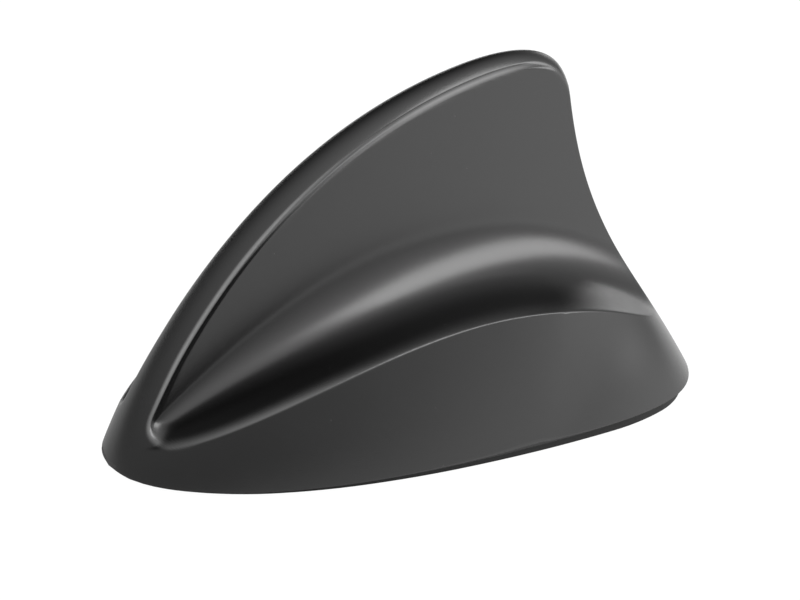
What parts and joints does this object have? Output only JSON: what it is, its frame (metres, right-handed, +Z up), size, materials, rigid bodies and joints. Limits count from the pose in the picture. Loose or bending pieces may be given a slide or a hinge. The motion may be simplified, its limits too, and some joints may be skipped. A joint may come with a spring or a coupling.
{
  "type": "shark fin roof aerial",
  "caption": "Black shark fin roof aerial: moulded plastic cover with scooped sides on a rubber seal, screwed down from below through a threaded bush.",
  "frame": {"origin": "middle of the overall length and width, on the underside of the roof seal", "axes": "+Z up from the roof, +X towards the tail, -X towards the nose, +Y to the side away from the camera"},
  "size_m": [0.14, 0.0734, 0.0831],
  "materials": {
    "cover": "satin",
    "rubber": "matte",
    "cast_plate": "matte",
    "steel": "satin",
    "brass": "satin",
    "spring_steel": "satin",
    "socket_front": "satin",
    "socket_rear": "satin",
    "board": "satin",
    "tin": "satin",
    "copper": "satin",
    "bracket": "matte",
    "foam": "matte",
    "ceramic": "matte",
    "silver": "satin"
  },
  "bodies": {
    "root": {"fin_cover": "cover", "roof_seal": "rubber", "base_plate": "cast_plate", "cover_screws": "steel", "threaded_bush": "brass", "ground_ring": "spring_steel", "cable_grommet": "rubber", "coax_socket_front": "socket_front", "coax_socket_rear": "socket_rear", "main_board": "board", "board_screws": "steel", "shield_can": "tin", "fin_board": "board", "fin_radiator": "copper", "fin_bracket": "bracket", "foam_pad": "foam", "patch_pad": "foam", "patch_ceramic": "ceramic", "patch_electrode": "silver", "patch_pin": "silver"}
  },
  "joints": []
}
